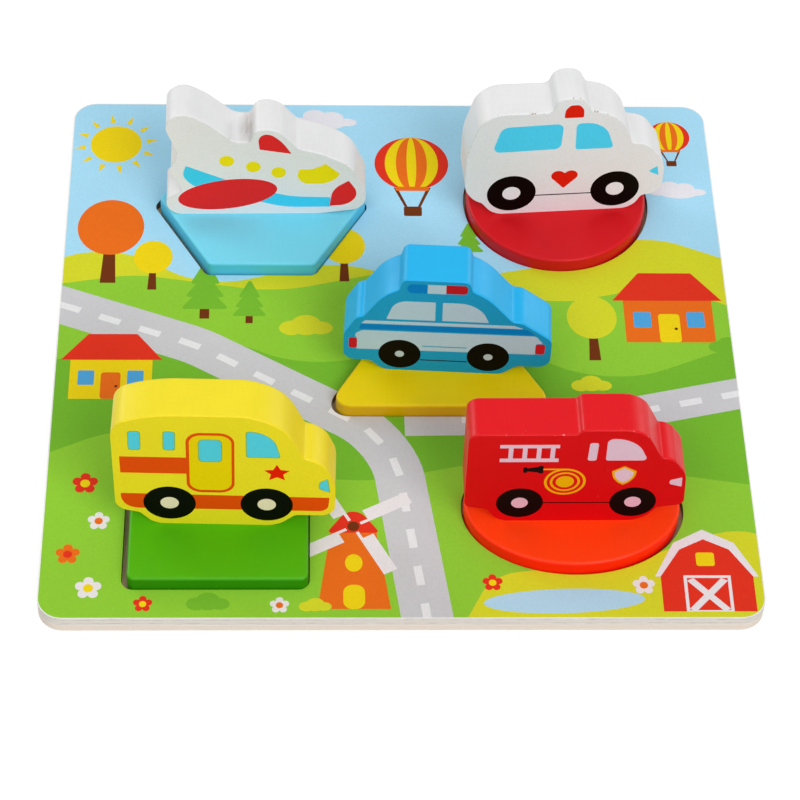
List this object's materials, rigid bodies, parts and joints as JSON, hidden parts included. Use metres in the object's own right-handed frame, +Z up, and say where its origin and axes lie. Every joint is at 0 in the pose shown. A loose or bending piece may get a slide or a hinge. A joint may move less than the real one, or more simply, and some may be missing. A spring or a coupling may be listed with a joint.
{
  "type": "shape and grasp puzzle",
  "caption": "Square plywood puzzle board whose geometric blocks, each carrying an upright chunky wooden vehicle as its grip, lift out of matching recesses.",
  "frame": {"origin": "centre of the square board's underside, on the surface that the board lies on", "axes": "+Z up out of the board, +X to the right along its front edge, -Y towards the player, so the printed sides of the vehicles face -Y"},
  "size_m": [0.225, 0.225, 0.0643],
  "materials": {
    "varnished_print": "four colour print under clear varnish",
    "plywood_face": "sanded birch face veneer",
    "plywood_core": "sawn poplar core",
    "green_paint": "satin water based paint on solid wood",
    "bus_yellow_paint": "satin water based paint on solid wood",
    "yellow_paint": "satin water based paint on solid wood",
    "blue_paint": "satin water based paint on solid wood",
    "orange_paint": "satin water based paint on solid wood",
    "fire_red_paint": "satin water based paint on solid wood",
    "light_blue_paint": "satin water based paint on solid wood",
    "white_paint": "satin water based paint on solid wood",
    "red_paint": "satin water based paint on solid wood",
    "beech": "plain turned beech dowel"
  },
  "bodies": {
    "board": {"print_sheet": "varnished_print", "top_face_ply": "plywood_face", "top_core_ply": "plywood_core", "top_back_ply": "plywood_face", "backing_face_ply": "plywood_face", "backing_core_ply": "plywood_core", "backing_back_ply": "plywood_face"},
    "bus_piece": {"square_base": "green_paint", "bus": "bus_yellow_paint", "bus_left_dowel": "beech", "bus_right_dowel": "beech"},
    "police_piece": {"triangle_base": "yellow_paint", "police_car": "blue_paint", "police_left_dowel": "beech", "police_right_dowel": "beech"},
    "fire_piece": {"oval_base": "orange_paint", "fire_engine": "fire_red_paint", "fire_left_dowel": "beech", "fire_right_dowel": "beech"},
    "plane_piece": {"hexagon_base": "light_blue_paint", "airplane": "white_paint", "plane_left_dowel": "beech", "plane_right_dowel": "beech"},
    "round_piece": {"round_base": "red_paint"},
    "round_grip": {"ambulance": "white_paint", "ambulance_dowel": "beech"}
  },
  "joints": [
    {"name": "bus_lift", "type": "slide", "parent": "board", "child": "bus_piece", "axis": [0, 0, 1], "range_m": [0, 0.08]},
    {"name": "police_lift", "type": "slide", "parent": "board", "child": "police_piece", "axis": [0, 0, 1], "range_m": [0, 0.08]},
    {"name": "fire_lift", "type": "slide", "parent": "board", "child": "fire_piece", "axis": [0, 0, 1], "range_m": [0, 0.08]},
    {"name": "plane_lift", "type": "slide", "parent": "board", "child": "plane_piece", "axis": [0, 0, 1], "range_m": [0, 0.08]},
    {"name": "round_lift", "type": "slide", "parent": "board", "child": "round_piece", "axis": [0, 0, 1], "range_m": [0, 0.08]},
    {"name": "round_turn", "type": "hinge", "parent": "round_piece", "child": "round_grip", "pos_m": [0.05641, 0.0632, 0.0113], "axis": [0, 0, 1], "continuous": true}
  ]
}
